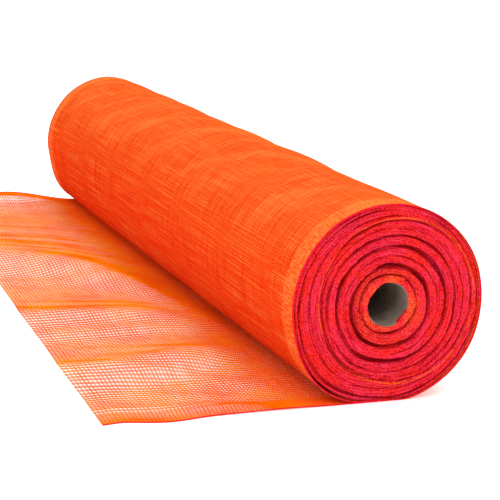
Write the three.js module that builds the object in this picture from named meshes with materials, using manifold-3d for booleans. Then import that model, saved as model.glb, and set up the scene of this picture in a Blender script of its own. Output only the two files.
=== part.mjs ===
// A roll of knitted debris netting, wound on a cardboard core and lying on the ground.
// The free end comes out from under the roll and lies on the ground beside it.
// Millimetres, +Z up. The roll's axis is along Y, and the free end is laid out towards -X.
// The origin is on the ground, under the middle of the roll.

import * as THREE from 'three';
import { mergeVertices } from 'three/addons/utils/BufferGeometryUtils.js';
import Module from 'manifold-3d';

// Winding
const nettingWidth = 2000; // from selvedge to selvedge, which is the length of the roll
const rollRadius = 175;
const settleDepth = 4; // how much the roll's own weight flattens its underside
const windingBundles = 6; // bundles of turns that show on each end
const grooveDepth = 7; // how far the grooves between the bundles go in
const grooveHalfWidth = 4;

// Loose outermost turn, which hangs away from the roll at its lower left
const looseTurnSag = 15; // how far it stands off the roll where it hangs lowest
const looseTurnThickness = 4;
const looseTurnInset = 5; // how far its edges stay behind the ends of the roll
const looseTurnStart = 188; // degrees, counted from +X over the top
const looseTurnEnd = 272;

// Free end on the ground
const freeEndReach = 500; // from under the roll's axis to the cut edge, at the front edge
const cutSkew = 25; // how much shorter the free end is at the back, as it was cut by hand
const freeEndThickness = 2;
const heldFlat = 90; // distance from the axis up to which the roll holds the netting flat
const fullyFree = 300; // distance from the axis where the folds have their full height
const backEdgeLift = 27; // how far the back edge stands off the ground
const backEdgeLength = 200; // how much of the netting lifts there

const crestRounding = 0.15; // how rounded the crests are, in lengths of their back slopes

// Folds that cross the free end. Each crest lies fromFront behind the front edge at the cut edge
// and bends away from there towards the roll. It has a short front slope and a long back slope.
const folds = [
  { fromFront: 1215, bend: -0.0042, rise: 36, front: 85, back: 300 },
  { fromFront: 660, bend: -0.0005, rise: 24, front: 50, back: 150 },
  { fromFront: 538, bend: 0, rise: 9, front: 25, back: 60 },
  { fromFront: 273, bend: 0.001, rise: 22, front: 45, back: 120 },
  { fromFront: 207, bend: 0.0012, rise: 9, front: 26, back: 60 },
  { fromFront: 59, bend: -0.0004, rise: 7, front: 18, back: 35 },
];

// Cardboard core
const coreBore = 76; // inside diameter
const coreWall = 4;
const coreInset = 6; // how far each end of the core is behind the end of the winding
const windingClearance = 0.3; // between the core and the first turn

// Fineness of the surfaces
const roundSteps = 60;
const looseTurnSteps = 22;
const stepsAcross = 12;
const stepsAlong = 84;

const halfWidth = nettingWidth / 2;
const axisHeight = rollRadius - settleDepth;
const coreRadius = coreBore / 2 + coreWall;
const windingBore = coreRadius + windingClearance;

const wasm = await Module();
wasm.setup();

// Turns a closed geometry into a solid that can be joined and cut.
function toSolid(geometry) {
  geometry.deleteAttribute('normal');
  geometry.deleteAttribute('uv');
  const merged = mergeVertices(geometry, 1e-3);
  const vertProperties = new Float32Array(merged.attributes.position.array);
  const triVerts = new Uint32Array(merged.index.array);
  return new wasm.Manifold(new wasm.Mesh({ numProp: 3, vertProperties, triVerts }));
}

// Turns a solid back into a geometry.
function toGeometry(solid) {
  const { vertProperties, triVerts } = solid.getMesh();
  const geometry = new THREE.BufferGeometry();
  geometry.setAttribute('position', new THREE.BufferAttribute(vertProperties, 3));
  geometry.setIndex(new THREE.BufferAttribute(triVerts, 1));
  geometry.computeVertexNormals();
  return geometry;
}

// One end of the winding, from the core outwards: flat bundles of turns with grooves between them.
function windingEnd() {
  const points = [new THREE.Vector2(windingBore, halfWidth - grooveHalfWidth)];
  const bundle = (rollRadius - windingBore) / windingBundles;
  for (let i = 0; i < windingBundles; i += 1) {
    const inner = windingBore + i * bundle;
    const outer = inner + bundle;
    points.push(new THREE.Vector2(inner + grooveHalfWidth, halfWidth));
    points.push(new THREE.Vector2(outer - grooveHalfWidth, halfWidth));
    const last = i === windingBundles - 1;
    const depth = last ? grooveHalfWidth : grooveDepth * (0.6 + 0.4 * (i % 2));
    points.push(new THREE.Vector2(outer, halfWidth - depth));
  }
  return points;
}

// The wound roll: its section turned round the axis, with the bore through it.
function windingGeometry() {
  const far = windingEnd();
  const near = far.map((point) => new THREE.Vector2(point.x, -point.y));
  const profile = [...near, ...far.reverse(), near[0].clone()];
  const geometry = new THREE.LatheGeometry(profile, roundSteps);
  return geometry.translate(0, 0, axisHeight);
}

// A point round the roll's axis. The shape's x is the object's -X here, and its y is +Z.
function aroundRoll(degrees, radius) {
  const angle = THREE.MathUtils.degToRad(degrees);
  return new THREE.Vector2(-radius * Math.cos(angle), axisHeight + radius * Math.sin(angle));
}

// The loose turn: a thin wall that leaves the roll, sags away from it and goes back under it.
function looseTurnGeometry() {
  const outside = [];
  const inside = [];
  for (let i = 0; i <= looseTurnSteps; i += 1) {
    const share = i / looseTurnSteps;
    const degrees = THREE.MathUtils.lerp(looseTurnStart, looseTurnEnd, share);
    const sag = looseTurnSag * Math.sin(Math.PI * share) ** 2;
    outside.push(aroundRoll(degrees, rollRadius + sag));
    inside.push(aroundRoll(degrees, rollRadius + sag - looseTurnThickness));
  }
  const shape = new THREE.Shape([...outside, ...inside.reverse()]);
  const depth = nettingWidth - 2 * looseTurnInset;
  const geometry = new THREE.ExtrudeGeometry(shape, { depth, bevelEnabled: false });
  geometry.translate(0, 0, -depth / 2);
  const upright = new THREE.Matrix4().makeBasis(
    new THREE.Vector3(-1, 0, 0),
    new THREE.Vector3(0, 0, 1),
    new THREE.Vector3(0, 1, 0),
  );
  return geometry.applyMatrix4(upright);
}

// Height of one fold: a bell curve in front of the crest, and a long fall with a rounded start behind it.
function foldHeight(fold, fromAxis, along) {
  const crest = fold.fromFront - halfWidth + fold.bend * (freeEndReach - fromAxis) ** 2;
  if (along < crest) {
    return fold.rise * Math.exp(-0.5 * ((along - crest) / fold.front) ** 2);
  }
  return fold.rise * Math.exp(crestRounding - Math.hypot((along - crest) / fold.back, crestRounding));
}

// Height of the free end above the ground, at a distance from the axis and a place along the roll.
function waveHeight(fromAxis, along) {
  let height = 0;
  for (const fold of folds) {
    height += foldHeight(fold, fromAxis, along);
  }
  const behind = THREE.MathUtils.smoothstep(along, halfWidth - backEdgeLength, halfWidth);
  height += backEdgeLift * behind;
  return height * THREE.MathUtils.smoothstep(fromAxis, heldFlat, fullyFree);
}

// The free end: a thin sheet from under the roll to the cut edge, with its folds.
function freeEndGeometry() {
  const geometry = new THREE.BoxGeometry(
    freeEndReach,
    nettingWidth,
    freeEndThickness,
    stepsAcross,
    stepsAlong,
    1,
  );
  geometry.translate(-freeEndReach / 2, 0, freeEndThickness / 2);
  const place = geometry.attributes.position;
  for (let i = 0; i < place.count; i += 1) {
    const along = place.getY(i);
    const shorter = cutSkew * (0.5 + along / nettingWidth);
    const fromAxis = -place.getX(i) * (1 - shorter / freeEndReach);
    place.setX(i, -fromAxis);
    place.setZ(i, place.getZ(i) + waveHeight(fromAxis, along));
  }
  return geometry;
}

// The ground, as a block that takes off what the roll's weight has flattened.
function groundGeometry() {
  const size = 2 * (freeEndReach + nettingWidth);
  return new THREE.BoxGeometry(size, size, size).translate(0, 0, -size / 2);
}

// The netting is one fabric: the winding, the loose turn and the free end.
const roll = toSolid(windingGeometry()).add(toSolid(looseTurnGeometry()));
const nettingSolid = roll.subtract(toSolid(groundGeometry())).add(toSolid(freeEndGeometry()));
const nettingMaterial = new THREE.MeshStandardMaterial({
  color: 0xf4471f,
  roughness: 0.62,
  metalness: 0,
});
const netting = new THREE.Mesh(toGeometry(nettingSolid), nettingMaterial);
netting.name = 'netting';

// The core is a plain tube.
const coreHalf = halfWidth - coreInset;
const coreSection = [
  new THREE.Vector2(coreBore / 2, -coreHalf),
  new THREE.Vector2(coreRadius, -coreHalf),
  new THREE.Vector2(coreRadius, coreHalf),
  new THREE.Vector2(coreBore / 2, coreHalf),
  new THREE.Vector2(coreBore / 2, -coreHalf),
];
const coreMaterial = new THREE.MeshStandardMaterial({
  color: 0x9c8b76,
  roughness: 0.9,
  metalness: 0,
});
const core = new THREE.Mesh(new THREE.LatheGeometry(coreSection, roundSteps), coreMaterial);
core.name = 'cardboard_core';
core.position.set(0, 0, axisHeight);

const debrisNettingRoll = new THREE.Group();
debrisNettingRoll.add(netting, core);

export default debrisNettingRoll;
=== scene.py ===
"""A roll of knitted debris netting on a cardboard core, with its free end laid out on the ground.

Metres, in the frame of the CAD model: +Z up, the roll's axis along Y, the free end towards -X, and the
origin on the ground under the middle of the roll. Every surface is a function of two parameters, worked
out with numpy as whole arrays.
"""

from __future__ import annotations

import logging
from dataclasses import dataclass
from enum import Enum

import bpy
import numpy as np
from bpy.types import Material, Node, Object
from bpy.types import NodeSocket as Socket
from mathutils import Matrix, Vector

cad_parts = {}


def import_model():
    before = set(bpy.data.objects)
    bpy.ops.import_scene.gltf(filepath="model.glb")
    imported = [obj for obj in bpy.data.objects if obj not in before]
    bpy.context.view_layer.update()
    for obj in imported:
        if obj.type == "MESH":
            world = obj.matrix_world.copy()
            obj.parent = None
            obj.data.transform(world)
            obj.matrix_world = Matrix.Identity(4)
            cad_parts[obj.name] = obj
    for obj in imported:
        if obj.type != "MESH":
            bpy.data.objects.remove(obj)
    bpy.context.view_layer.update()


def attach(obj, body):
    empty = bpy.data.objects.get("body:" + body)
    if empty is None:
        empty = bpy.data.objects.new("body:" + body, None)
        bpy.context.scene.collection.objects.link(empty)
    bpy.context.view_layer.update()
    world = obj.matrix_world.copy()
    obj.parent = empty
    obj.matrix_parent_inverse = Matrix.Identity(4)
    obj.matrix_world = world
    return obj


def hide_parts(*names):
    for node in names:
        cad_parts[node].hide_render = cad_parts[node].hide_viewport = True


log = logging.getLogger("netting_roll")

# Sizes that several pieces share, as in the CAD model.
WIDTH = 2.0
HALF = WIDTH / 2
ROLL_RADIUS = 0.175
AXIS_HEIGHT = 0.171
FREE_REACH = 0.5
CUT_SKEW = 0.025
SELVEDGE = 0.055
# How far the pleats over the roll run along it, for each metre round it.
PLEAT_SLANT = 1.4
# How many steps noise has in its second direction, and in its first where it needn't close on itself.
NOISE_STEPS = 997
# What the sum of a ripple's waves is divided by, so that it mostly lies from -1 to 1.
RIPPLE_SIZE = 1.6

Array = np.ndarray
Colour = tuple[float, float, float, float]
Place = tuple[float, float, float]
Pair = tuple[float, float]
Value = Socket | float


class RollEnd(Enum):
    """The two ends of the roll, by the sign of their place along Y."""

    FRONT = -1
    BACK = 1


class YarnRun(Enum):
    """Which way a set of yarns runs in the netting."""

    CROSSWAYS = "crossways"
    LENGTHWAYS = "lengthways"


# ---- Plain numbers to curves and meshes ----


def smooth(low: float, high: float, value: Array) -> Array:
    """An S-shaped step from 0 at low to 1 at high.

    Args:
        low: where the step starts.
        high: where it ends.
        value: where it is wanted.

    Returns:
        3t^2 - 2t^3, with t the share of the way from low to high, held between 0 and 1.
    """
    t = np.clip((value - low) / (high - low), 0.0, 1.0)
    return t * t * (3.0 - 2.0 * t)


def ripple(value: Array, seed: int, octaves: int = 4) -> Array:
    """A smooth uneven wave round a circle, that closes on itself.

    Args:
        value: the angle in radians.
        seed: which wave.
        octaves: how many sine waves are added, each one finer and lower than the one before.

    Returns:
        The sum of sines of whole frequencies with seeded phases, about -1 to 1.
    """
    random = np.random.default_rng(seed)
    total = np.zeros_like(value)
    for octave in range(octaves):
        frequency = random.integers(1 + 2 * octave, 4 + 3 * octave)
        total += np.sin(frequency * value + random.uniform(0, 2 * np.pi)) / (1 + octave)
    return total / RIPPLE_SIZE


def value_noise(u: Array, v: Array, seed: int, period: int) -> Array:
    """Smooth noise on a plane, that repeats after period steps in u.

    Args:
        u: the first coordinate, in steps of the noise.
        v: the second coordinate, in steps of the noise.
        seed: which noise.
        period: how many steps in u close on themselves.

    Returns:
        Random values at whole steps, blended with an S-shaped step between them, from -1 to 1.
    """
    table = np.random.default_rng(seed).uniform(-1, 1, (period, NOISE_STEPS))
    iu, iv = np.floor(u).astype(int), np.floor(v).astype(int)
    fu, fv = u - iu, v - iv
    fu, fv = fu * fu * (3 - 2 * fu), fv * fv * (3 - 2 * fv)

    def corner(du: int, dv: int) -> Array:
        """The table's value at a corner of each square."""
        return table[(iu + du) % period, (iv + dv) % NOISE_STEPS]

    near = corner(0, 0) * (1 - fu) + corner(1, 0) * fu
    far = corner(0, 1) * (1 - fu) + corner(1, 1) * fu
    return near * (1 - fv) + far * fv


def mesh_object(name: str, points: Array, *faces: Array, uv: Array | None = None) -> Object:
    """Puts a mesh into the scene.

    Args:
        name: the piece's name.
        points: corner places, one row each.
        *faces: sets of faces, each with one row of corner numbers a face.
        uv: the pattern's place at each face's corners, as faces by corners by 2, or None.

    Returns:
        The new object, at the origin and smoothly shaded.
    """
    mesh = bpy.data.meshes.new(name)
    mesh.vertices.add(len(points))
    mesh.vertices.foreach_set("co", np.ascontiguousarray(points, np.float32).ravel())
    corners = np.concatenate([one.ravel() for one in faces]).astype(np.int32)
    sides = np.concatenate([np.full(len(one), one.shape[1]) for one in faces])
    mesh.loops.add(len(corners))
    mesh.loops.foreach_set("vertex_index", corners)
    mesh.polygons.add(len(sides))
    mesh.polygons.foreach_set("loop_start", (np.cumsum(sides) - sides).astype(np.int32))
    if uv is not None:
        layer = mesh.uv_layers.new(name="UVMap")
        layer.uv.foreach_set("vector", np.ascontiguousarray(uv, np.float32).ravel())
    mesh.update(calc_edges=True)
    mesh.polygons.foreach_set("use_smooth", np.ones(len(sides), bool))
    made = bpy.data.objects.new(name, mesh)
    bpy.context.scene.collection.objects.link(made)
    return made


def grid_quads(rows: int, columns: int, close_rows: bool) -> tuple[Array, Array, Array]:
    """The faces of a grid of points, in which each row's last point joins its first.

    Args:
        rows: how many rows of points.
        columns: how many points in a row.
        close_rows: whether the last row joins the first too.

    Returns:
        The corner numbers of each face, and the row and the column of each corner before they wrap round,
        each as faces by 4.
    """
    i, j = np.meshgrid(np.arange(rows - (not close_rows)), np.arange(columns), indexing="ij")
    row = np.stack([i, i, i + 1, i + 1], axis=-1).reshape(-1, 4)
    column = np.stack([j, j + 1, j + 1, j], axis=-1).reshape(-1, 4)
    return (row % rows) * columns + column % columns, row, column


def ring_object(name: str, points: Array, uv: Array, turn_over: bool) -> Object:
    """Makes a surface of a grid of points that closes on itself both ways.

    Args:
        name: the piece's name.
        points: rows by columns by 3 places.
        uv: the places in the pattern, by 2, with one more row and one more column.
        turn_over: whether the faces have to be turned over to point outwards.

    Returns:
        The new object.
    """
    quads, row, column = grid_quads(*points.shape[:2], True)
    corners = uv[row, column]
    if turn_over:
        quads, corners = quads[:, ::-1], corners[:, ::-1]
    return mesh_object(name, points.reshape(-1, 3), quads, uv=corners)


def swept(
    paths: Array, across: Array, up: Array, section: Array, grown: Array
) -> tuple[Array, Array, Array]:
    """Carries a section along many paths at once.

    Args:
        paths: strands by steps by 3 places.
        across: the section's first direction at each place, with the same shape.
        up: the section's second direction at each place, with the same shape.
        section: strands by corners by 2, counted against the clock seen from ahead.
        grown: strands by steps, how much larger the section is at each place.

    Returns:
        The points, place + grown * (across * first + up * second), the faces, one for each side of the
        section between two steps, and the faces that close the ends.
    """
    corners = section.shape[1]
    first, second = section[:, None, :, 0, None], section[:, None, :, 1, None]
    spread = across[:, :, None] * first + up[:, :, None] * second
    rings = paths[:, :, None] + grown[:, :, None, None] * spread
    strands, steps = paths.shape[:2]
    number = np.arange(strands * steps * corners).reshape(strands, steps, corners)
    ahead = np.roll(number, -1, axis=2)
    sides = np.stack([number[:, :-1], ahead[:, :-1], ahead[:, 1:], number[:, 1:]], axis=-1)
    ends = np.concatenate([number[:, 0, ::-1], number[:, -1]])
    return rings.reshape(-1, 3), sides.reshape(-1, 4), ends


def unit(vectors: Array) -> Array:
    """The vectors, each made one long."""
    return vectors / np.linalg.norm(vectors, axis=-1, keepdims=True)


def round_axis(radius: Array, angle: Array, along: Array) -> Array:
    """Points at a radius and an angle round the roll's axis, and at a place along it."""
    x, z = radius * np.cos(angle), AXIS_HEIGHT + radius * np.sin(angle)
    return np.stack(np.broadcast_arrays(x, along, z), axis=-1)


def above_ground(height: Array, ground: Array | float, rounding: float) -> Array:
    """Heights held above the ground: ground + rounding * ln(1 + exp((height - ground) / rounding))."""
    return ground + np.logaddexp(0, (height - ground) / rounding) * rounding


# ---- Finishes ----


class Shader:
    """A material's nodes, with short ways to add and join them."""

    def __init__(self, name: str) -> None:
        """Starts a material with one shader joined to its output.

        Args:
            name: the material's name.
        """
        self.material = bpy.data.materials.new(name)
        self.material.use_nodes = True
        tree = self.material.node_tree
        self.nodes, self.links = tree.nodes, tree.links
        self.shader = self.nodes["Principled BSDF"]
        self.colour: Socket | None = None

    def add(self, kind: str, inputs: dict | None = None, **settings: object) -> Node:
        """Adds a node.

        Args:
            kind: the node's type.
            inputs: its sockets by name or number, with their values or the sockets to join.
            **settings: its own settings.

        Returns:
            The new node.
        """
        node = self.nodes.new(kind)
        for name, value in settings.items():
            setattr(node, name, value)
        for key, value in (inputs or {}).items():
            if isinstance(value, Socket):
                self.links.new(value, node.inputs[key])
            else:
                node.inputs[key].default_value = value
        return node

    def math(self, operation: str, *values: Value, clamp: bool = False) -> Socket:
        """One step of arithmetic on numbers or sockets."""
        sockets = dict(enumerate(values))
        return self.add("ShaderNodeMath", sockets, operation=operation, use_clamp=clamp).outputs[0]

    def plus(self, first: Value, second: Value) -> Socket:
        """The first and the second together."""
        return self.math("ADD", first, second)

    def minus(self, first: Value, second: Value) -> Socket:
        """The first less the second."""
        return self.math("SUBTRACT", first, second)

    def times(self, first: Value, second: Value) -> Socket:
        """The first times the second."""
        return self.math("MULTIPLY", first, second)

    def pattern(self) -> Socket:
        """The place in the piece's own pattern."""
        return self.add("ShaderNodeUVMap", uv_map="UVMap").outputs[0]

    def point(self) -> Socket:
        """The place in metres in the piece's own frame."""
        return self.add("ShaderNodeTexCoord").outputs["Object"]

    def parts(self, place: Socket) -> list[Socket]:
        """The three numbers of a place."""
        return list(self.add("ShaderNodeSeparateXYZ", {0: place}).outputs)

    def noise(
        self, place: Socket, scale: float | Place, detail: float = 2.0, rough: float = 0.5
    ) -> Socket:
        """Noise from 0 to 1.

        Args:
            place: where.
            scale: how fine the noise is, in one number or in one for each direction.
            detail: how many finer layers it has.
            rough: how much the finer layers count.

        Returns:
            The noise.
        """
        if isinstance(scale, tuple):
            place = self.add("ShaderNodeMapping", {"Vector": place, "Scale": scale}).outputs[0]
            scale = 1.0
        sockets = {"Vector": place, "Scale": scale, "Detail": detail, "Roughness": rough}
        return self.add("ShaderNodeTexNoise", sockets).outputs[0]

    def wave(self, place: Value, pitch: float) -> Socket:
        """A cosine wave of a pitch, from 0 between two crests to 1 on a crest."""
        turned = self.math("COSINE", self.times(place, 2 * np.pi / pitch))
        return self.math("MULTIPLY_ADD", turned, 0.5, 0.5)

    def blend(self, share: Value, first: Socket | Colour, second: Socket | Colour) -> Socket:
        """Two colours mixed by a share."""
        sockets = {0: share, 6: first, 7: second}
        return self.add("ShaderNodeMix", sockets, data_type="RGBA").outputs[2]

    def cover(self, colour: Colour, share: Value, strength: Value = 1.0) -> None:
        """Puts another colour over the one so far, by a share times a strength."""
        self.colour = self.blend(self.times(share, strength), self.colour, colour)

    def spread(self, value: Value, low: float, high: float) -> Socket:
        """A number brought from between low and high to between 0 and 1."""
        sockets = {0: value, 1: low, 2: high}
        return self.add("ShaderNodeMapRange", sockets, interpolation_type="SMOOTHSTEP").outputs[0]

    def finish(self, bump: Socket, height: float, rough: float, shine: float = 0.0) -> Material:
        """Joins the colour so far and the bump to the shader.

        Args:
            bump: the relief, about from 0 to 1.
            height: how high in metres the relief is.
            rough: the roughness.
            shine: the specular level.

        Returns:
            The material.
        """
        self.links.new(self.colour, self.shader.inputs["Base Color"])
        relief = self.add("ShaderNodeBump", {"Height": bump, "Distance": height})
        self.links.new(relief.outputs[0], self.shader.inputs["Normal"])
        self.shader.inputs["Roughness"].default_value = rough
        self.shader.inputs["Specular IOR Level"].default_value = shine
        return self.material


@dataclass(frozen=True)
class WoundNetting:
    """The outermost turn of the roll: many layers of mesh on each other, so it looks closed."""

    # deep and light are the colours of the roll's shaded lower side and its lit top: painted light
    deep: Colour = (0.88, 0.030, 0.001, 1)
    light: Colour = (0.80, 0.068, 0.004, 1)
    # pale serves the pale threads and the selvedge band, and also the painted highlights over the top and
    # where the yarns cross
    pale: Colour = (0.92, 0.230, 0.045, 1)
    # dark serves the dark threads, and also the painted shade in the openings between the yarns
    dark: Colour = (0.62, 0.004, 0.000, 1)
    edge: Colour = (0.60, 0.004, 0.014, 1)
    across_pitch: float = 0.004
    along_pitch: float = 0.005
    roughness: float = 0.6

    def make(self) -> Material:
        """Mixes the colours and the relief, which also carries the fine lines of the mesh.

        Returns:
            The material: a cosine wave for each set of yarns, long thin noise for single threads, pale
            slanting crests near the top and a paler band along each edge. The colour is painted lighter
            towards the top and darker low down, the pale crests and pale flecks where the yarns cross are
            painted highlights, and the darkened openings between the yarns are painted shade. The
            pattern's u is metres round the roll, and its v metres along it.
        """
        s = Shader("wound_netting")
        place = s.pattern()
        u, v = s.parts(place)[:2]
        warp = s.times(s.noise(place, (14.0, 14.0, 1.0)), 0.016)
        rib = s.wave(s.plus(u, warp), self.across_pitch)
        row = s.wave(s.plus(v, warp), self.along_pitch)
        cloud = s.noise(place, (4.0, 2.5, 1.0), 3.0)
        patch = s.noise(place, (11.0, 7.0, 1.0), 3.0, 0.6)
        grain = s.noise(place, (330.0, 330.0, 1.0), 1.0)
        across = s.noise(place, (430.0, 3.5, 1.0), 2.0, 0.6)
        around = s.noise(place, (8.0, 300.0, 1.0), 2.0, 0.6)
        # Painted light: the colour goes from deep orange low on the roll to light orange towards its top,
        # mixed with random tone from the cloud noise.
        top = s.spread(s.parts(s.point())[2], 0.05, 0.33)
        top_light_and_tone = s.plus(s.times(top, 0.65), s.times(cloud, 0.7))
        s.colour = s.blend(s.spread(top_light_and_tone, 0.25, 1.0), self.deep, self.light)
        # Painted highlight: pale over the top of the roll, strongest on crests that slant like the
        # pleats.
        slant = s.minus(v, s.times(u, PLEAT_SLANT))
        lying = s.add("ShaderNodeCombineXYZ", {0: s.times(u, 3.0), 1: s.times(slant, 9.0)})
        crest = s.spread(s.noise(lying.outputs[0], 1.0), 0.5, 0.62)
        top_highlight_strength = s.plus(s.times(crest, 0.35), 0.25)
        s.cover(self.pale, s.spread(top, 0.7, 1.0), top_highlight_strength)
        line = s.times(s.spread(across, 0.51, 0.62), s.spread(patch, 0.15, 0.5))
        s.cover(self.pale, line, 0.8)
        rows = s.times(s.spread(around, 0.49, 0.59), s.spread(patch, 0.85, 0.45))
        s.cover(self.dark, rows, 0.7)
        # Painted shade: the openings between the yarns darkened, as the turns below lie in shade.
        opening_shade = s.times(s.minus(1.0, rib), s.minus(1.0, row))
        s.cover(self.dark, opening_shade)
        # Painted highlight: pale flecks where the two sets of yarns cross.
        crossing_highlight = s.times(s.times(rib, row), s.spread(grain, 0.35, 0.6))
        s.cover(self.pale, crossing_highlight, 0.7)
        from_edge = s.minus(HALF, s.math("ABSOLUTE", v))
        band = s.spread(from_edge, SELVEDGE + 0.004, SELVEDGE - 0.004)
        dash = s.spread(s.noise(place, (430.0, 45.0, 1.0), 1.0), 0.42, 0.62)
        paler = s.times(band, s.math("MULTIPLY_ADD", dash, 0.6, 0.1))
        s.cover(self.pale, paler)
        s.cover(self.edge, s.spread(from_edge, 0.007, 0.002))
        height = s.plus(s.times(rib, 0.5), s.times(row, 0.4))
        height = s.plus(height, s.times(across, 1.2))
        height = s.minus(height, s.times(around, 0.8))
        return s.finish(height, 0.0009, self.roughness)


@dataclass(frozen=True)
class CutTurns:
    """The ends of the winding, where the selvedges of all the turns lie edge on."""

    crimson: Colour = (0.74, 0.010, 0.020, 1)
    magenta: Colour = (0.92, 0.050, 0.110, 1)
    red: Colour = (0.94, 0.026, 0.006, 1)
    orange: Colour = (0.96, 0.130, 0.006, 1)
    # dark serves the dark seams between turns, and also the painted shade deeper in the end
    dark: Colour = (0.26, 0.001, 0.005, 1)
    deep: Colour = (0.46, 0.002, 0.010, 1)
    lit_turn: tuple[float, float, float, float] = (0.8245, 0.0955, 0.0285, 0.012)
    roughness: float = 0.85

    def make(self) -> Material:
        """Mixes the colours and the relief of the turns' edges, with painted shade where the end lies
        deeper in.

        Returns:
            The material. The pattern's u is the angle in turns, and its v counts the turns outwards.
            lit_turn is the one orange turn: the share of the roll's radius at which it lies, how far its
            circle is off centre to the right and upwards, and its half width.
        """
        s = Shader("cut_turns")
        place = s.pattern()
        point = s.point()
        x, y, z = s.parts(point)
        up = s.minus(z, AXIS_HEIGHT)
        radius = s.math("SQRT", s.plus(s.times(x, x), s.times(up, up)))
        fuzz = s.noise(point, 300.0, 2.0, 0.7)
        grain = s.noise(point, 150.0, 3.0, 0.6)
        turn = s.noise(place, (9.0, 1.4, 1.0), 2.0, 0.7)
        seam = s.minus(1.0, s.wave(s.parts(place)[1], 1.0))
        patch = s.noise(place, (9.0, 0.16, 1.0))
        s.colour = s.blend(s.spread(turn, 0.36, 0.64), self.crimson, self.magenta)
        mixed = s.plus(s.times(patch, 0.7), s.times(grain, 0.6))
        s.cover(self.red, s.spread(mixed, 0.58, 0.75))
        inner = s.spread(s.plus(radius, s.times(grain, 0.03)), 0.095, 0.06)
        s.cover(self.red, inner, 0.7)
        s.cover(self.orange, inner, s.spread(mixed, 0.5, 0.85))
        place_out, right, top, half = self.lit_turn
        aim = s.plus(s.times(x, right), s.times(up, top))
        aim = s.plus(s.math("DIVIDE", aim, radius), place_out)
        miss = s.math("ABSOLUTE", s.minus(s.math("DIVIDE", radius, ROLL_RADIUS), aim))
        lit = s.times(s.spread(miss, half, half * 0.45), s.spread(patch, 0.15, 0.4))
        s.cover(self.orange, lit)
        streak = s.noise(place, (36.0, 3.6, 1.0), 2.0, 0.7)
        s.cover(self.magenta, s.spread(streak, 0.5, 0.64), 0.7)
        s.cover(self.deep, s.spread(streak, 0.46, 0.32), 0.8)
        s.cover(self.deep, s.spread(fuzz, 0.52, 0.34), 0.9)
        s.cover(self.magenta, s.spread(fuzz, 0.52, 0.68), 0.7)
        s.cover(self.dark, s.math("POWER", seam, 3.0), 0.3)
        # Painted shade: darker where the end lies deeper in, in the grooves and hollows between the
        # bundles.
        recess_shade = s.spread(s.math("ABSOLUTE", y), HALF - 0.002, HALF - 0.012)
        s.cover(self.dark, recess_shade, 0.5)
        height = s.plus(fuzz, s.times(turn, 0.8))
        return s.finish(height, 0.0016, self.roughness)


@dataclass(frozen=True)
class OpenNetting:
    """The yarns of the free end, one layer of open mesh on the ground."""

    yarn: Colour = (0.92, 0.240, 0.002, 1)
    deep: Colour = (0.90, 0.130, 0.000, 1)
    shaded: Colour = (0.98, 0.105, 0.012, 1)
    roughness: float = 0.5

    def make(self) -> Material:
        """Mixes two oranges along the yarns, and a redder orange near the roll as painted shade, where
        the roll overhangs the netting.

        Returns:
            The material.
        """
        s = Shader("open_netting")
        point = s.point()
        cloud = s.noise(point, 9.0, 3.0)
        stitch = s.noise(point, 330.0, 1.0)
        s.colour = s.blend(s.spread(cloud, 0.35, 0.65), self.deep, self.yarn)
        s.cover(self.deep, s.spread(stitch, 0.5, 0.3), 0.6)
        # Painted shade: the netting turns the redder shaded orange as it nears the roll, which overhangs
        # it.
        near = s.spread(s.parts(point)[0], -0.20, -0.11)
        s.cover(self.shaded, near, 0.85)
        return s.finish(stitch, 0.0004, self.roughness)


@dataclass(frozen=True)
class EdgeCord:
    """The pink-red cord knitted into the very edge of the netting."""

    red: Colour = (0.70, 0.008, 0.008, 1)
    pink: Colour = (0.74, 0.012, 0.050, 1)
    roughness: float = 0.6

    def make(self) -> Material:
        """Mottles the cord from red to pink.

        Returns:
            The material.
        """
        s = Shader("edge_cord")
        point = s.point()
        mottle = s.noise(point, 90.0, 3.0)
        s.colour = s.blend(s.spread(mottle, 0.4, 0.6), self.red, self.pink)
        return s.finish(s.noise(point, 600.0, 1.0), 0.0005, self.roughness)


@dataclass(frozen=True)
class Cardboard:
    """Plain grey-brown cardboard, wound from strips that leave a slanting seam."""

    light: Colour = (0.32, 0.24, 0.17, 1)
    dark: Colour = (0.13, 0.11, 0.10, 1)
    strip_pitch: float = 0.11
    roughness: float = 0.9
    shine: float = 0.5

    def make(self) -> Material:
        """Mixes fibres, mottles and the slanting seam.

        Returns:
            The material. The pattern's u is the angle in turns, and its v metres along the tube.
        """
        s = Shader("cardboard")
        place = s.pattern()
        point = s.point()
        around, along = s.parts(place)[:2]
        strip = s.math("FRACT", s.plus(s.math("DIVIDE", along, self.strip_pitch), around))
        seam = s.spread(s.math("ABSOLUTE", s.minus(strip, 0.5)), 0.03, 0.0)
        fibre = s.noise(point, (700.0, 180.0, 700.0), 3.0, 0.6)
        mottle = s.noise(point, 45.0, 3.0)
        share = s.math("ADD", s.times(fibre, 0.6), s.times(mottle, 0.4), clamp=True)
        s.colour = s.blend(s.spread(share, 0.3, 0.7), self.dark, self.light)
        s.cover(self.dark, seam, 0.6)
        height = s.minus(fibre, s.times(seam, 2.0))
        return s.finish(height, 0.0004, self.roughness, self.shine)


@dataclass(frozen=True)
class PaleGround:
    """The plain pale floor."""

    shade: Colour = (0.93, 0.93, 0.93, 1)
    roughness: float = 0.9
    glow: float = 0.28

    def make(self) -> Material:
        """Sets one flat shade, with a slight glow that keeps it as pale as a lit studio floor.

        Returns:
            The material.
        """
        s = Shader("pale_ground")
        values = {
            "Base Color": self.shade,
            "Roughness": self.roughness,
            "Specular IOR Level": 0.0,
            "Emission Color": self.shade,
            "Emission Strength": self.glow,
        }
        for name, value in values.items():
            s.shader.inputs[name].default_value = value
        return s.material


# ---- The roll ----


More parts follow.
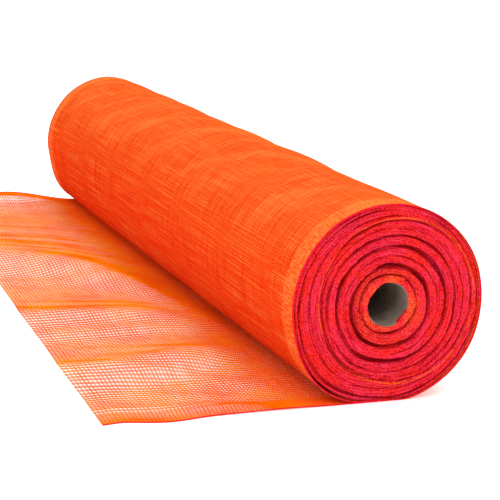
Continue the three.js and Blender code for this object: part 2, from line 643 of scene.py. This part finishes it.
@dataclass(frozen=True)
class Fold:
    """A fold with a crest line, a short rounded front slope and a long back slope."""

    from_front: float
    bend: float
    rise: float
    front: float
    back: float
    rounding: float = 0.15

    def height(self, run: Array, along: Array) -> Array:
        """The fold's height.

        Args:
            run: how far the place is from where the crest is given, across the fold's netting.
            along: the place along the roll.

        Returns:
            rise * exp(-t^2 / 2) before the crest line and rise * exp(r - sqrt(t^2 + r^2)) behind it,
            where r is the rounding, t is the distance from the crest line over the slope's length, and
            the crest line is from_front behind the front edge and moves by bend * run^2.
        """
        crest = self.from_front - HALF + self.bend * run**2
        ahead = np.exp(-0.5 * ((along - crest) / self.front) ** 2)
        behind = np.exp(self.rounding - np.hypot((along - crest) / self.back, self.rounding))
        return self.rise * np.where(along < crest, ahead, behind)


@dataclass
class OuterTurn:
    """The outermost turn: it comes from the free end, goes round the roll and sags at the lower left."""

    radius: float = ROLL_RADIUS
    thickness: float = 0.0012
    sag_depths: Pair = (0.009, 0.019)
    sag_growth: float = 0.7
    sag_span: Pair = (188.0, 272.0)
    span: Pair = (-90.0, 272.0)
    around: int = 240
    along: int = 150
    pleats: tuple[float, ...] = (0.56, 0.88, 1.36, 1.58, 1.84)
    pleat_height: float = 0.0044
    pleat_fading: float = 0.12
    pleat_slopes: Pair = (0.045, 0.11)
    pleat_middle: float = 58.0
    pleats_start: Pair = (25.0, 60.0)
    pleats_end: Pair = (150.0, 95.0)
    unevenness: float = 0.0012
    ground_gap: float = 0.0014
    tucked_gap: float = 0.0016
    tucked_after: float = 225.0
    ground_rounding: float = 0.0016

    def sag(self, degrees: Array, along: Array) -> Array:
        """How far the turn hangs out.

        Args:
            degrees: the angle from +X over the top.
            along: the place along Y.

        Returns:
            The depth times sin^2 of the share of the sag's angle, where the depth grows to the back.
        """
        start, end = self.sag_span
        share = np.clip((degrees - start) / (end - start), 0, 1)
        front, back = self.sag_depths
        depth = front + (back - front) * smooth(-HALF, HALF, along) ** self.sag_growth
        return depth * np.sin(np.pi * share) ** 2

    def surface(self, degrees: Array, along: Array, inwards: float = 0.0) -> Array:
        """The turn's outside.

        Args:
            degrees: the angle from +X over the top.
            along: the place along Y.
            inwards: how far inside the surface.

        Returns:
            Points at the roll's radius, plus the sag, plus slanting pleats over the top, and held above
            the ground.
        """
        angle = np.radians(degrees)
        radius = self.radius + self.sag(degrees, along)
        over = smooth(*self.pleats_start, degrees) * smooth(*self.pleats_end, degrees)
        slant = PLEAT_SLANT * self.radius * (angle - np.radians(self.pleat_middle))
        for number, place in enumerate(self.pleats):
            rise = self.pleat_height * (1 - self.pleat_fading * number)
            fold = Fold(place, 0.0, rise, *self.pleat_slopes)
            radius = radius + over * fold.height(np.zeros_like(along), along - slant)
        # The noise has 12 steps round the roll, and 6 steps in a metre along it.
        uneven = value_noise(degrees / 30, along * 6 + 9, 5, 12)
        radius = radius + self.unevenness * uneven - inwards
        ground = self.ground_gap + np.where(degrees > self.tucked_after, self.tucked_gap, 0.0) - inwards
        points = round_axis(radius, angle, along)
        points[..., 2] = above_ground(points[..., 2], ground, self.ground_rounding)
        return points

    def build(self) -> Object:
        """The turn as a thin closed strip.

        Returns:
            The piece: the surface and the same surface further in, joined at the turn's start and end
            and closed by a strip of faces along each edge.
        """
        degrees = np.linspace(*self.span, self.around)
        along = np.linspace(-HALF, HALF, self.along)
        grid_degrees, grid_along = np.meshgrid(degrees, along)
        outside = self.surface(grid_degrees, grid_along)
        inside = self.surface(grid_degrees, grid_along, self.thickness)[:, ::-1]
        points = np.concatenate([outside, inside], axis=1)
        metres = np.radians(degrees) * self.radius
        u = np.concatenate([metres, metres[::-1], metres[:1]])
        quads, row, column = grid_quads(*points.shape[:2], False)
        uv = np.stack([u[column], along[row]], axis=-1)
        left = np.arange(self.around - 1)
        right = 2 * self.around - 1 - left
        cap = np.stack([left, right, right - 1, left + 1], axis=1)
        caps = np.concatenate([cap[:, ::-1], cap + 2 * self.around * (self.along - 1)])
        flat = points.reshape(-1, 3)
        caps_uv = np.stack([np.tile(u[:-1], self.along)[caps], flat[caps][:, :, 1]], axis=-1)
        faces = np.concatenate([quads[:, ::-1], caps])
        uv = np.concatenate([uv[:, ::-1], caps_uv])
        return mesh_object("netting_outer_turn", flat, faces, uv=uv)


@dataclass
class Winding:
    """The wound turns, seen on their ends, where they lie in bundles with grooves between them."""

    turn: OuterTurn
    radius: float = ROLL_RADIUS - 0.0022
    bore: float = 0.0425
    lip: float = 0.0382
    turn_pitch: float = 0.0046
    around: int = 480
    rings: int = 176
    sag_share: float = 0.62
    grooves: tuple[tuple[float, float, float, float, float], ...] = (
        (0.300, 0.005, 0.002, 0.0070, 0.0020),
        (0.411, 0.023, -0.019, 0.0150, 0.0036),
        (0.500, 0.030, -0.010, 0.0040, 0.0018),
        (0.585, 0.040, -0.005, 0.0130, 0.0034),
        (0.690, 0.045, 0.000, 0.0080, 0.0026),
        (0.755, 0.055, 0.010, 0.0050, 0.0018),
        (0.810, 0.090, 0.028, 0.0070, 0.0022),
        (0.880, 0.045, 0.015, 0.0050, 0.0020),
        (0.955, 0.010, 0.000, 0.0080, 0.0020),
    )
    groove_shade: Pair = (0.22, 2.6)
    groove_wander: float = 0.006
    groove_changes: Pair = (0.45, 0.3)
    wobble: Pair = (0.5, 0.9)
    inner_region: Pair = (0.42, 0.27)
    rim_region: Pair = (0.965, 1.0)
    core_region: Pair = (0.052, 0.044)
    lip_region: Pair = (0.0, 0.02)
    back_lip_turned: float = 1.7
    seed: int = 200
    inner_drop: float = 0.004
    rim_drop: float = 0.006
    over_core_drop: float = 0.0022
    ridge: Pair = (0.0013, 0.0009)
    lumps: Pair = (0.0014, 0.0007)
    ground_gap: float = 0.0042
    ground_rounding: float = 0.001
    bore_from_end: tuple[float, ...] = (HALF, 0.10, 0.03, 0.012)
    outside_from_end: tuple[float, ...] = (0.010, 0.03, 0.12, 0.5, HALF)
    lip_waves: tuple[tuple[int, float, float], ...] = (
        (1, 0.0006, 0.6),
        (2, 0.0016, -1.9),
        (4, 0.0005, -0.6),
        (6, 0.0006, 1.5),
        (13, 0.0003, 2.0),
    )

    def inner_radius(self, angle: Array) -> Array:
        """The uneven edge of the innermost turn: a radius and a few cosine waves round it."""
        waves = sum(rise * np.cos(count * angle + phase) for count, rise, phase in self.lip_waves)
        return self.lip + waves

    def outer_radius(self, angle: Array, along: Array) -> Array:
        """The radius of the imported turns, that sag with the outermost one but not as far."""
        over = self.turn.sag(np.degrees(angle) % 360, along)
        return self.radius + self.sag_share * over

    def relief(self, angle: Array, share: Array, seed: int) -> tuple[Array, Array]:
        """How far the end stands out, and how many turns outwards a place is.

        Args:
            angle: the angle round the axis.
            share: the distance from the axis as a share of the winding's radius there.
            seed: which end's unevenness.

        Returns:
            The height: a bell-shaped groove for each bundle's edge, a cosine wave for each turn of the
            spiral, and noise that follows the turns. And the turn number, the radius over the pitch less
            the angle in turns. A groove is given as its circle's share of the radius, how far that is off
            centre to the right and upwards, its depth and its half width.
        """
        turns = angle / (2 * np.pi)
        wobble = self.wobble[0] * value_noise(turns * 24, share * 17, seed + 2, 24)
        inside = self.wobble[1] * smooth(0.5, 0.25, share)
        wobble = wobble + inside * value_noise(turns * 9, share * 9, seed + 5, 9)
        turn = share * self.radius / self.turn_pitch - turns + wobble
        uneven = value_noise(turns * 18, share * 24, seed + 6, 18)
        height = -self.inner_drop * smooth(*self.inner_region, share) * (1 + 0.6 * uneven)
        shade, reach = self.groove_shade
        for number, (place, right, top, depth, half) in enumerate(self.grooves):
            middle = place + right * np.cos(angle) + top * np.sin(angle)
            middle = middle + self.groove_wander * ripple(angle, seed + 20 + number)
            deeper = self.groove_changes[0] * ripple(angle, seed + 40 + number, 3)
            wider = self.groove_changes[1] * ripple(angle, seed + 60 + number, 3)
            deep = np.maximum(depth * (1 + deeper), 0)
            width = half * (1 + wider) / self.radius
            away = np.abs(share - middle) / width
            height = height - deep * np.exp(-(away**2)) - shade * deep * np.exp(-away / reach)
        ridge = self.ridge[0] + self.ridge[1] * value_noise(turns * 7, share * 13, seed + 8, 7)
        height = height + ridge * np.cos(2 * np.pi * turn)
        height = height + self.lumps[0] * value_noise(turns * 61, turn * 0.8, seed + 3, 61)
        height = height + self.lumps[1] * value_noise(turns * 240, turn * 1.9, seed + 4, 240)
        return height - self.rim_drop * smooth(*self.rim_region, share), turn

    def build(self, end: RollEnd) -> Object:
        """One half of the winding, from the middle of the bore over the end to the middle outside.

        Args:
            end: which half.

        Returns:
            The piece, closed on itself by a flat ring in the middle.
        """
        sign, front = end.value, end is RollEnd.FRONT
        angle = np.linspace(0, 2 * np.pi, self.around + 1)
        fraction = np.linspace(0, 1, self.rings)[:, None]
        inner = self.inner_radius(angle if front else angle + self.back_lip_turned)
        outer = self.outer_radius(angle, sign * HALF)
        radius = inner + (outer - inner) * fraction
        angles = np.broadcast_to(angle, radius.shape)
        height, turn = self.relief(angles, radius / outer, self.seed + 100 * sign)
        over_core = smooth(*self.core_region, radius)
        height = height * (1 - over_core) - self.over_core_drop * over_core
        edge = smooth(*self.lip_region, fraction)
        face_y = HALF - self.inner_drop * (1 - edge) + height * edge
        bore_y = HALF - np.array(self.bore_from_end)[:, None]
        out_y = HALF - np.array(self.outside_from_end)[:, None]
        count = self.around + 1
        bore_r = np.concatenate([np.full((len(bore_y) - 1, count), self.bore), inner[None]])
        radii = np.concatenate([bore_r, radius, self.outer_radius(angle, sign * out_y)])
        places = np.concatenate([np.repeat(bore_y, count, 1), face_y, np.repeat(out_y, count, 1)])
        points = round_axis(radii, angle, sign * places)[:, :-1]
        points[..., 2] = above_ground(points[..., 2], self.ground_gap, self.ground_rounding)
        first, last = np.repeat(turn[:1], len(bore_y), 0), np.repeat(turn[-1:], len(out_y) + 1, 0)
        v = np.concatenate([first, turn, last])
        uv = np.stack([np.broadcast_to(angle / (2 * np.pi), v.shape), v], axis=-1)
        name = "netting_winding_" + end.name.lower()
        return ring_object(name, points, uv, turn_over=front)


@dataclass
class Core:
    """The cardboard tube."""

    bore: float = 0.038
    radius: float = 0.042
    half: float = 0.994
    around: int = 120
    chamfer: float = 0.0008
    worn: float = 0.1
    unevenness: float = 0.0003

    def build(self) -> Object:
        """The tube.

        Returns:
            The piece: a section with softened corners, turned round the axis with a slight wave.
        """
        c, h = self.chamfer, self.half
        front = [
            (self.bore, 0.0),
            (self.bore, self.worn - h),
            (self.bore, c - h),
            (self.bore + c, -h),
            (self.radius - c, -h),
            (self.radius, c - h),
            (self.radius, 0.0),
        ]
        section = np.array(front + [(radius, -along) for radius, along in front[5:0:-1]])
        angle = np.linspace(0, 2 * np.pi, self.around, endpoint=False)
        radius = section[:, :1] + self.unevenness * ripple(angle, 7)
        points = round_axis(radius, angle, section[:, 1:])
        v = np.append(section[:, 1], section[0, 1])
        uv = np.stack(np.meshgrid(np.linspace(0, 1, self.around + 1), v), axis=-1)
        made = ring_object("cardboard_tube", points, uv, turn_over=True)
        made.data.polygons.foreach_set("use_smooth", np.zeros(len(made.data.polygons), bool))
        return made


# ---- The free end ----


@dataclass
class FreeEnd:
    """The netting that lies on the ground: open mesh, with a closer band and a cord along each edge."""

    freed: Pair = (0.09, 0.30)
    back_lift: float = 0.027
    back_length: float = 0.20
    start: float = 0.03
    selvedge: float = 0.044
    selvedge_pitch: float = 0.0024
    bunched: Pair = (0.13, 0.23)
    bunched_pitch: float = 0.0032
    bunched_width: float = 1.8
    lengthways_pitch: float = 0.0112
    crossways_pitch: float = 0.0068
    crossways_share: float = 0.95
    crossways_steps: int = 136
    lengthways_steps: int = 28
    yarn_width: float = 0.0012
    yarn_height: float = 0.00065
    lengthways_group: tuple[float, ...] = (-0.0026, -0.0004, 0.0019)
    crossways_group: tuple[float, ...] = (-0.0008, 0.0008)
    thicker_selvedge: float = 1.35
    width_changes: float = 0.25
    wander: Pair = (0.0009, 0.0004)
    crossways_above: float = 0.0004
    cut_margin: float = 0.001
    cut_follows: float = 0.75
    crease_height: float = 0.0016
    edge_fading: float = 0.06
    bends: tuple[Place, ...] = ((0.385, 0.050, 0.012), (0.465, 0.025, -0.006))
    bends_reach: float = 0.25
    folds: tuple[Fold, ...] = (
        Fold(1.215, -4.2, 0.036, 0.085, 0.300),
        Fold(0.660, -0.5, 0.024, 0.050, 0.150),
        Fold(0.538, 0.0, 0.009, 0.025, 0.060),
        Fold(0.273, 1.0, 0.022, 0.045, 0.120),
        Fold(0.207, 1.2, 0.009, 0.026, 0.060),
        Fold(0.059, -0.4, 0.007, 0.018, 0.035),
    )

    def reach(self, along: Array) -> Array:
        """How far from the axis the cut edge is: shorter towards the back."""
        return FREE_REACH - CUT_SKEW * (0.5 + along / WIDTH)

    def height(self, run: Array, along: Array) -> Array:
        """How high the netting's underside lies.

        Args:
            run: how far from the roll's axis, towards the cut edge.
            along: the place along Y.

        Returns:
            The sum of the folds, of the lifted back edge and of small creases that run towards the roll,
            times an S-shaped step, since the roll holds the netting down near the axis.
        """
        height = sum(fold.height(FREE_REACH - run, along) for fold in self.folds)
        height = height + self.back_lift * smooth(HALF - self.back_length, HALF, along)
        crease = value_noise(run * 3 + 5, along * 26 + 40 - 9 * run, 21, NOISE_STEPS)
        fading = smooth(HALF, HALF - self.edge_fading, np.abs(along))
        height = height + self.crease_height * (1 + crease) * fading
        return height * smooth(*self.freed, run)

    def place(self, share: Array, along: Array, above: float = 0.0) -> Array:
        """A place on the netting.

        Args:
            share: from 0 under the roll's axis to 1 at the cut edge.
            along: the place along Y.
            above: how far above the underside.

        Returns:
            Points on the netting. The cut edge reaches a little further where it is lifted. The selvedges
            bend sideways by bell-shaped steps, each given by its place, its width and its size.
        """
        cut = self.reach(along)
        run = share * cut
        run = run + self.cut_follows * self.height(cut, along) * share**4
        bend = sum(size * np.exp(-(((run - at) / width) ** 2)) for at, width, size in self.bends)
        aside = along + np.sign(along) * bend * smooth(HALF - self.bends_reach, HALF, np.abs(along))
        return np.stack([-run, aside, self.height(run, along) + above], axis=-1)

    def frame(self, share: Array, along: Array) -> tuple[Array, Array, Array]:
        """The netting's own directions.

        Args:
            share: from 0 under the roll's axis to 1 at the cut edge.
            along: the place along Y.

        Returns:
            The directions towards the cut edge, along the roll and upwards.
        """
        step = 1e-3
        towards = unit(self.place(share + step, along) - self.place(share - step, along))
        aside = unit(self.place(share, along + step) - self.place(share, along - step))
        upwards = unit(np.cross(aside, towards))
        return towards, aside, upwards * np.sign(upwards[..., 2:])

    def lines(self, run: YarnRun) -> tuple[Array, Array]:
        """Where a set of yarns lies.

        Args:
            run: which way they run.

        Returns:
            The place of each yarn, and the number of its group. A crossways group lies where the sum of
            1 / pitch passes a whole number.
        """
        if run is YarnRun.CROSSWAYS:
            tried = np.linspace(self.start, FREE_REACH - self.cut_margin, 2000)
            wider = (self.crossways_pitch - self.bunched_pitch) * smooth(*self.bunched, tried)
            pitch = self.bunched_pitch + wider
            passed = np.cumsum(tried[1] / pitch - tried[0] / pitch)
            starts = np.interp(np.arange(1, passed[-1]), passed, tried)
            gaps = np.array(self.crossways_group)
            dense = np.empty(0)
        else:
            inner = HALF - self.selvedge
            count = round(2 * inner / self.lengthways_pitch)
            starts = np.linspace(-inner, inner, count, endpoint=False) + inner / count
            gaps = np.array(self.lengthways_group)
            first, last = inner + self.selvedge_pitch / 2, HALF - self.cut_margin
            dense = np.arange(first, last, self.selvedge_pitch)
        places = (starts[:, None] + gaps).ravel()
        group = np.repeat(np.arange(len(starts)), len(gaps))
        both = np.concatenate([dense, -dense])
        return np.concatenate([places, both]), np.concatenate([group, np.zeros(len(both), int)])

    def yarns(self, run: YarnRun) -> tuple[Array, Array]:
        """A set of yarns.

        Args:
            run: which way they run.

        Returns:
            The points and sides of three-cornered yarns, open at their cut ends, in groups with openings
            between them.
        """
        lines, group = self.lines(run)
        crossways = run is YarnRun.CROSSWAYS
        if crossways:
            steps = np.linspace(-HALF, HALF, self.crossways_steps)
            share, along = np.meshgrid(lines / FREE_REACH, steps, indexing="ij")
        else:
            steps = np.linspace(self.start / FREE_REACH, 1, self.lengthways_steps)
            along, share = np.meshgrid(lines, steps, indexing="ij")
        far = np.broadcast_to(np.linspace(0, 60, share.shape[1]), share.shape)
        each = np.broadcast_to(np.arange(len(lines))[:, None], share.shape)
        together = value_noise(group[:, None] * 0.31 + 0 * far, far * 0.8, 31, NOISE_STEPS)
        alone = value_noise(each * 7.3, far * 2, 33, NOISE_STEPS)
        wander = self.wander[0] * together + self.wander[1] * alone
        if crossways:
            share = share + wander / FREE_REACH
        else:
            along = along + wander * smooth(HALF, HALF - self.edge_fading, np.abs(along))
        towards, aside, upwards = self.frame(share, along)
        changes = self.width_changes * np.random.default_rng(8).uniform(-1, 1, len(lines))
        wide = self.yarn_width * (1 + changes)
        wide = np.where(np.abs(lines) > HALF - self.selvedge, self.thicker_selvedge * wide, wide)
        corners = np.array([(-0.5, 0.0), (0.5, 0.0), (0.0, 1.0)])
        section = np.broadcast_to(corners, (len(lines), 3, 2)).copy()
        section[:, :, 0] *= wide[:, None] * (self.crossways_share if crossways else 1)
        section[:, :, 1] *= self.yarn_height
        if crossways:
            places = self.place(share, along, self.crossways_above)
            return swept(places, towards, upwards, section, np.ones_like(share))[:2]
        narrower = (self.bunched_width - 1) * smooth(*self.bunched, share * FREE_REACH)
        grown = self.bunched_width - narrower
        return swept(self.place(share, along), aside, upwards, section[:, ::-1], grown)[:2]

    def build(self, run: YarnRun) -> Object:
        """All yarns that run one way, as one piece."""
        return mesh_object(f"netting_{run.value}_yarns", *self.yarns(run))


@dataclass
class EdgeLine:
    """The cord in the very edge of the netting, from the cut edge, under the roll and round it.

    Its thicknesses, steps and insets are given for the free end and for the way round the roll.
    """

    free_end: FreeEnd
    turn: OuterTurn
    thicknesses: Pair = (0.0024, 0.0026)
    steps: tuple[int, int] = (120, 320)
    insets: Pair = (0.0006, 0.0008)
    corners: int = 8
    last_share: float = 0.06
    around: Pair = (-89.0, 271.0)
    above: float = 0.0012
    lowest: float = 0.0002

    def build(self, end: RollEnd) -> Object:
        """One edge's cord.

        Args:
            end: which edge.

        Returns:
            A round section carried along the sheet's edge and then round the roll, where several turns
            lie together and the cord looks thicker.
        """
        flat_steps, round_steps = self.steps
        beside = end.value * (HALF - np.repeat(self.insets, self.steps))
        share = np.linspace(1, self.last_share, flat_steps)
        flat = self.free_end.place(share, beside[:flat_steps], self.above)
        degrees = np.linspace(*self.around, round_steps)
        round_roll = self.turn.surface(degrees, beside[flat_steps:], self.insets[0])
        path = np.concatenate([flat, round_roll])
        side = np.broadcast_to((0.0, 1.0, 0.0), path.shape)
        up = unit(np.cross(np.gradient(path, axis=0), side))
        corner = np.linspace(0, 2 * np.pi, self.corners, endpoint=False)
        section = np.stack([np.cos(corner), np.sin(corner)], axis=-1)
        wide = np.repeat(self.thicknesses, self.steps) / 2
        points, sides, ends = swept(path[None], side[None], up[None], section[None], wide[None])
        points[:, 2] = np.maximum(points[:, 2], self.lowest)
        return mesh_object("edge_cord_" + end.name.lower(), points, sides, ends)


# ---- The studio ----


@dataclass(frozen=True)
class Lamp:
    """A square soft light that points at a target."""

    name: str
    place: Place
    target: Place
    size: float
    watts: float

    def build(self) -> None:
        """The light, turned so that its own -Z goes from its place to the target."""
        data = bpy.data.lights.new(self.name, "AREA")
        data.shape, data.size, data.energy = "SQUARE", self.size, self.watts
        made = bpy.data.objects.new(self.name, data)
        aim = (Vector(self.target) - Vector(self.place)).to_track_quat("-Z", "Y")
        made.matrix_world = Matrix.Translation(Vector(self.place)) @ aim.to_matrix().to_4x4()
        bpy.context.scene.collection.objects.link(made)


@dataclass
class Studio:
    """The floor, the lights and the camera at the photograph's angle."""

    place: Place = (-1.0858, -3.4287, 0.8340)
    yaw: float = 18.936
    pitch: float = 12.167
    roll: float = 1.075
    focal_pixels: float = 1602.0
    image_side: float = 500.0
    floor_half: float = 30.0
    lamps: tuple[Lamp, ...] = (
        Lamp("key", (-1.8, -3.6, 3.4), (-0.1, -0.4, 0.1), 2.4, 70),
        Lamp("top", (1.6, 1.2, 3.6), (0, 0, 0.1), 3.0, 110),
    )

    def camera(self) -> None:
        """A camera whose axes are the fitted yaw, pitch and roll, with no shift and no depth of field."""
        yaw, pitch, roll = np.radians([self.yaw, self.pitch, self.roll])
        ahead = np.array([np.sin(yaw) * np.cos(pitch), np.cos(yaw) * np.cos(pitch), -np.sin(pitch)])
        level = np.array([np.cos(yaw), -np.sin(yaw), 0.0])
        upright = np.cross(level, ahead)
        right = level * np.cos(roll) + upright * np.sin(roll)
        up = -level * np.sin(roll) + upright * np.cos(roll)
        data = bpy.data.cameras.new("camera")
        data.lens = self.focal_pixels / self.image_side * data.sensor_width
        camera = bpy.data.objects.new("camera", data)
        rotation = Matrix((right, up, -ahead)).transposed().to_4x4()
        camera.matrix_world = Matrix.Translation(Vector(self.place)) @ rotation
        bpy.context.scene.collection.objects.link(camera)
        bpy.context.scene.camera = camera

    def floor(self) -> None:
        """A wide square of floor at the ground level."""
        corners = np.array([(-1, -1, 0), (1, -1, 0), (1, 1, 0), (-1, 1, 0)], float)
        made = mesh_object("floor", corners * self.floor_half, np.array([[0, 1, 2, 3]]))
        made.data.materials.append(PaleGround().make())

    def build(self) -> None:
        """Everything that isn't the roll."""
        self.camera()
        self.floor()
        for lamp in self.lamps:
            lamp.build()
        world = bpy.data.worlds.new("studio")
        world.use_nodes = True
        world.node_tree.nodes["Background"].inputs[0].default_value = (1, 1, 1, 1)
        bpy.context.scene.world = world
        bpy.context.scene.view_settings.view_transform = "Standard"


def place_piece(piece: Object, material: Material, node: str) -> Object:
    """Gives a piece its finish and its body, and hides the CAD model's node that it stands for.

    Args:
        piece: the finished piece.
        material: its material.
        node: the CAD model's node.

    Returns:
        The same piece.
    """
    piece.data.materials.append(material)
    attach(piece, "root")
    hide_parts(node)
    log.info("%s: %d faces", piece.name, len(piece.data.polygons))
    return piece


def main() -> None:
    """Builds the roll, its free end, the core and the studio, in that order."""
    logging.basicConfig(level=logging.INFO, format="%(message)s")
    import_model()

    outer, free_end = OuterTurn(), FreeEnd()
    winding, edges = Winding(outer), EdgeLine(free_end, outer)
    cut, open_netting, cord = CutTurns().make(), OpenNetting().make(), EdgeCord().make()

    place_piece(outer.build(), WoundNetting().make(), "netting")
    for end in RollEnd:
        place_piece(winding.build(end), cut, "netting")
    crossways, lengthways = (
        place_piece(free_end.build(run), open_netting, "netting") for run in YarnRun
    )
    for end in RollEnd:
        place_piece(edges.build(end), cord, "netting")
    place_piece(Core().build(), Cardboard().make(), "cardboard_core")

    Studio().build()
    bpy.context.view_layer.update()


if __name__ == "__main__":
    main()
